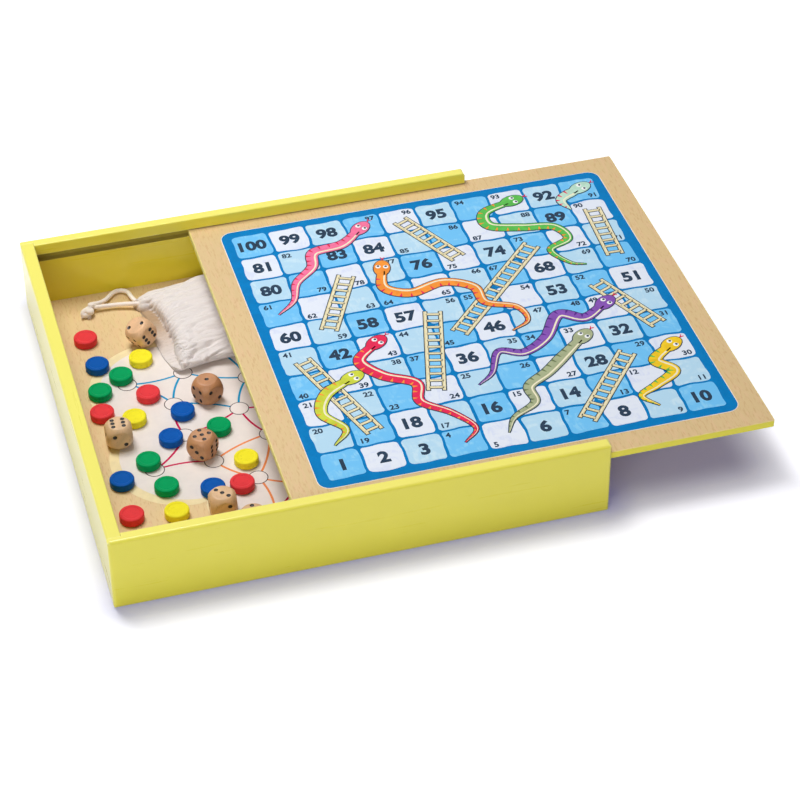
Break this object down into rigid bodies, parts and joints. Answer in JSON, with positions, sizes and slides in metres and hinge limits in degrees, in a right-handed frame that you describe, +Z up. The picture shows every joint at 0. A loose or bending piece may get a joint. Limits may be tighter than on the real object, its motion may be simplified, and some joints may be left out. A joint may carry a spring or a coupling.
{
  "type": "games compendium box",
  "caption": "Flat wooden games box with a sliding printed board as its lid, holding loose counters, dice and a drawstring pouch.",
  "frame": {"origin": "centre of the case's underside", "axes": "+X along the front, the way the lid slides out; +Y from front to back; +Z up"},
  "size_m": [0.375, 0.28, 0.047],
  "materials": {
    "yellow_painted_wood": "satin paint",
    "printed_beech_floor": "satin lacquer with a printed game",
    "printed_beech_lid": "satin lacquer with a printed game",
    "counter_red": "satin paint",
    "counter_blue": "satin paint",
    "counter_green": "satin paint",
    "counter_yellow": "satin paint",
    "die_wood": "waxed, with black pips",
    "pouch_cotton": "crinkled plain weave",
    "cord_cotton": "matte twisted cotton"
  },
  "bodies": {
    "case": {"front_wall": "yellow_painted_wood", "back_wall": "yellow_painted_wood", "left_end_wall": "yellow_painted_wood", "right_end_wall": "yellow_painted_wood", "base_panel": "printed_beech_floor", "pouch": "pouch_cotton", "drawstring_arc": "cord_cotton", "drawstring_straight": "cord_cotton", "drawstring_knot": "cord_cotton"},
    "lid": {"lid_panel": "printed_beech_lid"},
    "counter_red_1": {"counter_red_1": "counter_red"},
    "counter_red_2": {"counter_red_2": "counter_red"},
    "counter_red_3": {"counter_red_3": "counter_red"},
    "counter_red_4": {"counter_red_4": "counter_red"},
    "counter_red_5": {"counter_red_5": "counter_red"},
    "counter_blue_1": {"counter_blue_1": "counter_blue"},
    "counter_blue_2": {"counter_blue_2": "counter_blue"},
    "counter_blue_3": {"counter_blue_3": "counter_blue"},
    "counter_blue_4": {"counter_blue_4": "counter_blue"},
    "counter_blue_5": {"counter_blue_5": "counter_blue"},
    "counter_green_1": {"counter_green_1": "counter_green"},
    "counter_green_2": {"counter_green_2": "counter_green"},
    "counter_green_3": {"counter_green_3": "counter_green"},
    "counter_green_4": {"counter_green_4": "counter_green"},
    "counter_green_5": {"counter_green_5": "counter_green"},
    "counter_yellow_1": {"counter_yellow_1": "counter_yellow"},
    "counter_yellow_2": {"counter_yellow_2": "counter_yellow"},
    "counter_yellow_3": {"counter_yellow_3": "counter_yellow"},
    "counter_yellow_4": {"counter_yellow_4": "counter_yellow"},
    "counter_yellow_5": {"counter_yellow_5": "counter_yellow"},
    "die_1": {"die_1": "die_wood"},
    "die_2": {"die_2": "die_wood"},
    "die_3": {"die_3": "die_wood"},
    "die_4": {"die_4": "die_wood"},
    "die_5": {"die_5": "die_wood"},
    "die_6": {"die_6": "die_wood"}
  },
  "joints": [
    {"name": "lid_slide", "type": "slide", "parent": "case", "child": "lid", "axis": [1, 0, 0], "range_m": [-0.097, 0.18]},
    {"name": "counter_red_1_lift", "type": "slide", "parent": "case", "child": "counter_red_1", "axis": [0, 0, 1], "range_m": [0, 0.06]},
    {"name": "counter_red_2_lift", "type": "slide", "parent": "case", "child": "counter_red_2", "axis": [0, 0, 1], "range_m": [0, 0.06]},
    {"name": "counter_red_3_lift", "type": "slide", "parent": "case", "child": "counter_red_3", "axis": [0, 0, 1], "range_m": [0, 0.06]},
    {"name": "counter_red_4_lift", "type": "slide", "parent": "case", "child": "counter_red_4", "axis": [0, 0, 1], "range_m": [0, 0.06]},
    {"name": "counter_red_5_lift", "type": "slide", "parent": "case", "child": "counter_red_5", "axis": [0, 0, 1], "range_m": [0, 0.06]},
    {"name": "counter_blue_1_lift", "type": "slide", "parent": "case", "child": "counter_blue_1", "axis": [0, 0, 1], "range_m": [0, 0.06]},
    {"name": "counter_blue_2_lift", "type": "slide", "parent": "case", "child": "counter_blue_2", "axis": [0, 0, 1], "range_m": [0, 0.06]},
    {"name": "counter_blue_3_lift", "type": "slide", "parent": "case", "child": "counter_blue_3", "axis": [0, 0, 1], "range_m": [0, 0.06]},
    {"name": "counter_blue_4_lift", "type": "slide", "parent": "case", "child": "counter_blue_4", "axis": [0, 0, 1], "range_m": [0, 0.06]},
    {"name": "counter_blue_5_lift", "type": "slide", "parent": "case", "child": "counter_blue_5", "axis": [0, 0, 1], "range_m": [0, 0.06]},
    {"name": "counter_green_1_lift", "type": "slide", "parent": "case", "child": "counter_green_1", "axis": [0, 0, 1], "range_m": [0, 0.06]},
    {"name": "counter_green_2_lift", "type": "slide", "parent": "case", "child": "counter_green_2", "axis": [0, 0, 1], "range_m": [0, 0.06]},
    {"name": "counter_green_3_lift", "type": "slide", "parent": "case", "child": "counter_green_3", "axis": [0, 0, 1], "range_m": [0, 0.06]},
    {"name": "counter_green_4_lift", "type": "slide", "parent": "case", "child": "counter_green_4", "axis": [0, 0, 1], "range_m": [0, 0.06]},
    {"name": "counter_green_5_lift", "type": "slide", "parent": "case", "child": "counter_green_5", "axis": [0, 0, 1], "range_m": [0, 0.06]},
    {"name": "counter_yellow_1_lift", "type": "slide", "parent": "case", "child": "counter_yellow_1", "axis": [0, 0, 1], "range_m": [0, 0.06]},
    {"name": "counter_yellow_2_lift", "type": "slide", "parent": "case", "child": "counter_yellow_2", "axis": [0, 0, 1], "range_m": [0, 0.06]},
    {"name": "counter_yellow_3_lift", "type": "slide", "parent": "case", "child": "counter_yellow_3", "axis": [0, 0, 1], "range_m": [0, 0.06]},
    {"name": "counter_yellow_4_lift", "type": "slide", "parent": "case", "child": "counter_yellow_4", "axis": [0, 0, 1], "range_m": [0, 0.06]},
    {"name": "counter_yellow_5_lift", "type": "slide", "parent": "case", "child": "counter_yellow_5", "axis": [0, 0, 1], "range_m": [0, 0.06]},
    {"name": "die_1_lift", "type": "slide", "parent": "case", "child": "die_1", "axis": [0, 0, 1], "range_m": [0, 0.06]},
    {"name": "die_2_lift", "type": "slide", "parent": "case", "child": "die_2", "axis": [0, 0, 1], "range_m": [0, 0.06]},
    {"name": "die_3_lift", "type": "slide", "parent": "case", "child": "die_3", "axis": [0, 0, 1], "range_m": [0, 0.06]},
    {"name": "die_4_lift", "type": "slide", "parent": "case", "child": "die_4", "axis": [0, 0, 1], "range_m": [0, 0.06]},
    {"name": "die_5_lift", "type": "slide", "parent": "case", "child": "die_5", "axis": [0, 0, 1], "range_m": [0, 0.06]},
    {"name": "die_6_lift", "type": "slide", "parent": "case", "child": "die_6", "axis": [0, 0, 1], "range_m": [0, 0.06]}
  ]
}
